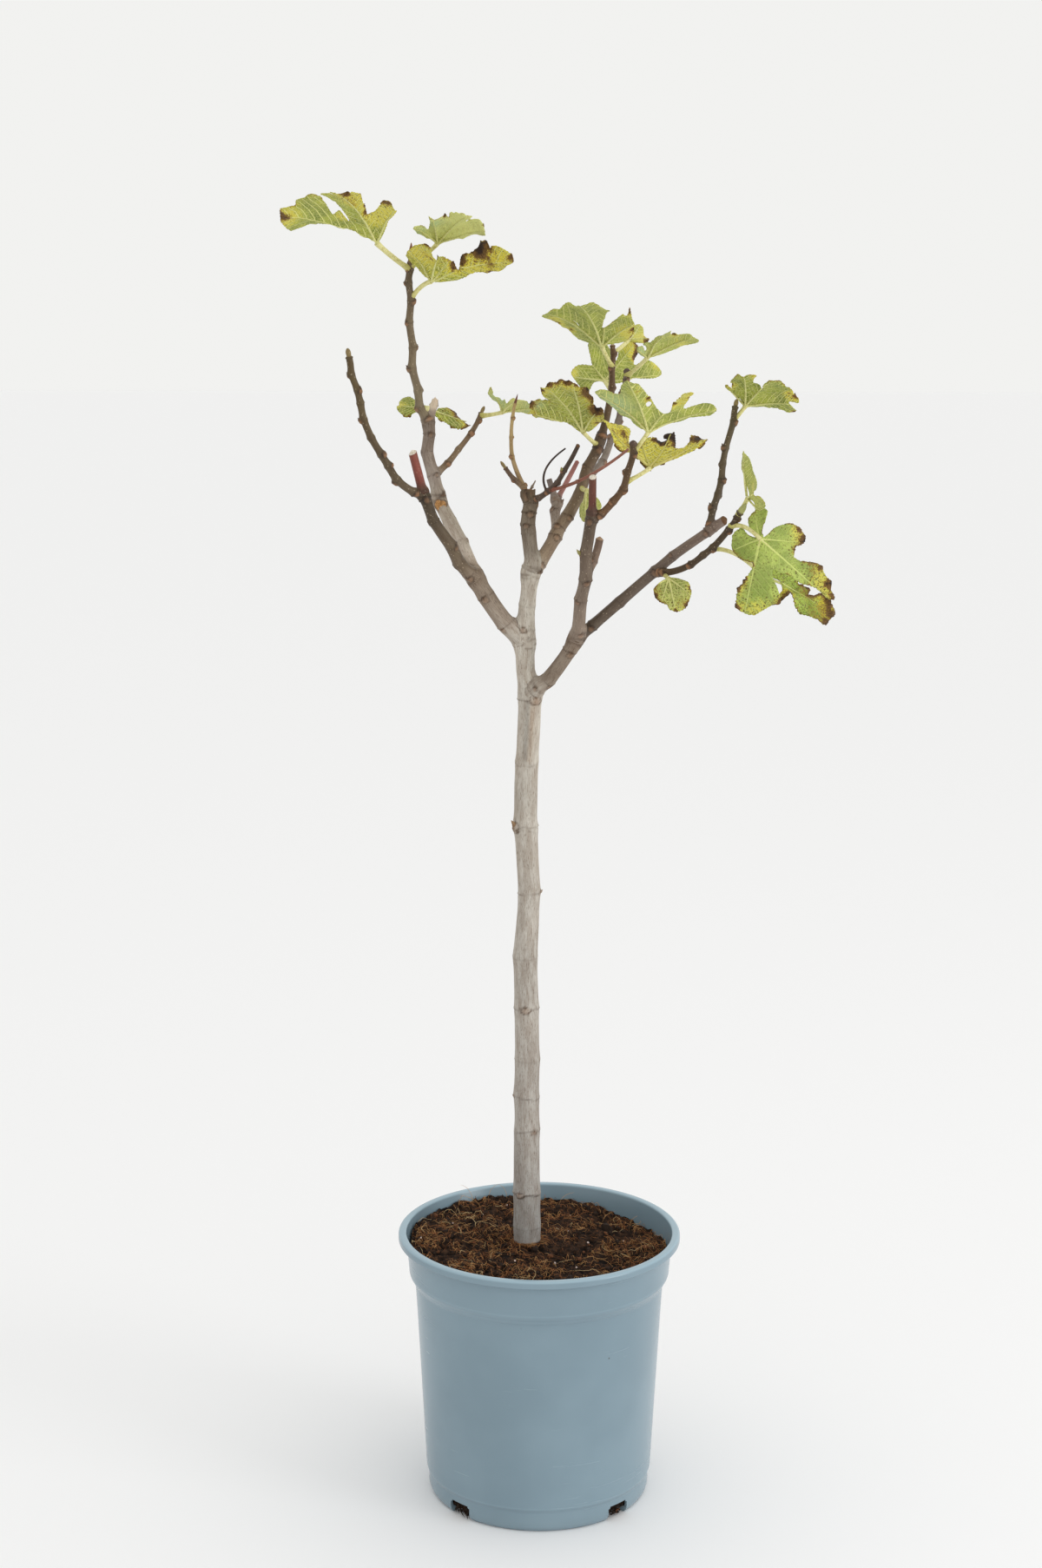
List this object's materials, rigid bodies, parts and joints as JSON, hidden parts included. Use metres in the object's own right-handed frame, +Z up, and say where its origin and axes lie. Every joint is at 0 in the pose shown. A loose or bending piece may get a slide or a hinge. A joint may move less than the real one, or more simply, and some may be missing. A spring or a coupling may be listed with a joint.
{
  "type": "fig tree in a nursery pot",
  "caption": "Fig grown as a short standard: bare straight stem, pruned open crown with cut stubs and a few large lobed leaves, rooted in a round tapered plastic pot with a lip and drain slots.",
  "frame": {"origin": "centre of the pot's flat underside, on the surface that it stands on", "axes": "+Z up along the pot's axis; -Y towards the viewer of the reference view, +X to the viewer's right"},
  "size_m": [0.4654, 0.2679, 1.1676],
  "materials": {
    "pot": "satin, faintly mottled, scuffed",
    "soil": "rough, damp, fibrous",
    "bark_old": "matte, fine vertical streaks and ring scars",
    "bark_young": "satin, with pores and node rings",
    "bark_red": "satin, pale cut ends",
    "leaf": "matte, pale raised veins, yellow and brown edges"
  },
  "bodies": {
    "root": {"pot": "pot", "soil": "soil", "trunk": "bark_old", "bough_left": "bark_old", "bough_left_front": "bark_young", "stub_left_front": "bark_red", "shoot_left_front": "bark_young", "bough_left_back": "bark_old", "bough_left_back_upper": "bark_old", "stub_left_back": "bark_young", "shoot_left_back": "bark_young", "twig_left_back": "bark_young", "leader": "bark_old", "twig_leader_upright": "bark_young", "twig_leader_right": "bark_young", "twig_leader_red": "bark_red", "bough_centre": "bark_young", "shoot_centre": "bark_young", "bough_rear_stub": "bark_old", "stub_rear_pink": "bark_red", "stub_rear_knob": "bark_old", "bough_rear": "bark_young", "bough_right": "bark_old", "bough_right_upright": "bark_young", "stub_right_upright": "bark_red", "stub_right_side": "bark_young", "shoot_right_upright": "bark_young", "bough_right_long": "bark_young", "shoot_right_long": "bark_young", "bough_right_low": "bark_young", "foliage_top_left_large": "leaf", "foliage_top_left_small": "leaf", "foliage_top_left_folded": "leaf", "foliage_left_behind": "leaf", "foliage_middle_left": "leaf", "foliage_centre_large": "leaf", "foliage_crown_top": "leaf", "foliage_crown_back": "leaf", "foliage_crown_right": "leaf", "foliage_crown_rear": "leaf", "foliage_right_large": "leaf", "foliage_right_yellow": "leaf", "foliage_inner_small": "leaf", "foliage_far_right_top": "leaf", "foliage_far_right_edge": "leaf", "foliage_far_right_low": "leaf", "foliage_far_right_hanging": "leaf", "foliage_under_right": "leaf"}
  },
  "joints": []
}
